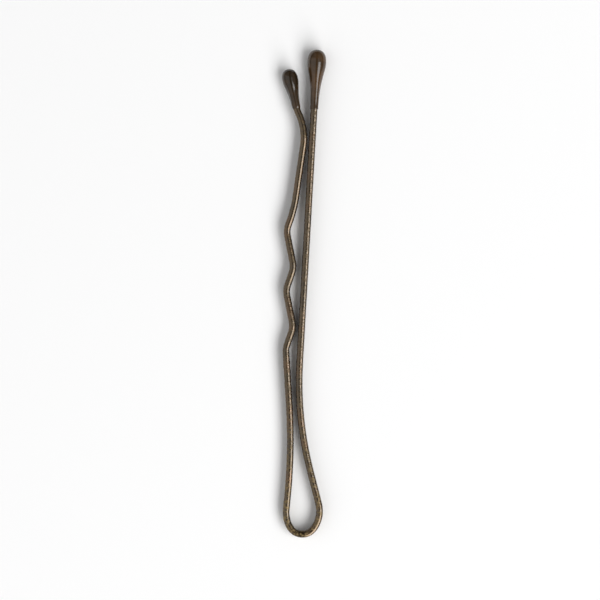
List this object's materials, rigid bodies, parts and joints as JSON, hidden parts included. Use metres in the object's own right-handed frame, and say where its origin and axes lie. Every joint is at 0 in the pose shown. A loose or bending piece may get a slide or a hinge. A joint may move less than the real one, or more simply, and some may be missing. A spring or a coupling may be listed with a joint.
{
  "type": "bobby pin",
  "caption": "Hair pin of one flattened spring wire: a bow with an eye, a straight leg and a crimped leg that closes on it, and a resin drop on each end.",
  "frame": {"origin": "centre of the eye inside the bow, at the middle of the wire's width", "axes": "+Y along the straight leg towards the tips, +X from the crimped leg towards the straight leg, +Z across the width of the wire, towards the camera of the picture"},
  "size_m": [0.0068, 0.0508, 0.002],
  "materials": {
    "lacquered_wire": "gloss",
    "tip_resin": "gloss"
  },
  "bodies": {
    "bow": {"bow": "lacquered_wire"},
    "straight_leg_lower": {"straight_leg_lower": "lacquered_wire"},
    "straight_leg_middle": {"straight_leg_middle": "lacquered_wire"},
    "straight_leg_upper": {"straight_leg_upper": "lacquered_wire", "straight_tip": "tip_resin"},
    "crimped_leg_lower": {"crimped_leg_lower": "lacquered_wire"},
    "crimped_leg_waves": {"crimped_leg_waves": "lacquered_wire"},
    "crimped_leg_toe": {"crimped_leg_toe": "lacquered_wire", "crimped_tip": "tip_resin"}
  },
  "joints": [
    {"name": "straight_leg_spread", "type": "hinge", "parent": "bow", "child": "straight_leg_lower", "pos_m": [0.00159, -0.00099, 0], "axis": [0, 0, -1], "range_deg": [0, 4.3], "stiffness_Nm_per_rad": 0.785},
    {"name": "straight_leg_flex", "type": "hinge", "parent": "straight_leg_lower", "child": "straight_leg_middle", "pos_m": [-0.00083, 0.01787, 0], "axis": [0, 0, -1], "range_deg": [0, 4.5], "stiffness_Nm_per_rad": 0.45},
    {"name": "straight_tip_flex", "type": "hinge", "parent": "straight_leg_middle", "child": "straight_leg_upper", "pos_m": [-0.00083, 0.03195, 0], "axis": [0, 0, -1], "range_deg": [0, 2.3], "stiffness_Nm_per_rad": 0.478},
    {"name": "crimped_leg_spread", "type": "hinge", "parent": "bow", "child": "crimped_leg_lower", "pos_m": [-0.00159, -0.00099, 0], "axis": [0, 0, 1], "range_deg": [0, 3.4], "stiffness_Nm_per_rad": 0.958},
    {"name": "crimped_leg_flex", "type": "hinge", "parent": "crimped_leg_lower", "child": "crimped_leg_waves", "pos_m": [-0.00266, 0.01385, 0], "axis": [0, 0, 1], "range_deg": [0, 4.8], "stiffness_Nm_per_rad": 0.452},
    {"name": "crimped_toe_flex", "type": "hinge", "parent": "crimped_leg_waves", "child": "crimped_leg_toe", "pos_m": [-0.00281, 0.03516, 0], "axis": [0, 0, 1], "range_deg": [0, 2], "stiffness_Nm_per_rad": 0.361}
  ]
}
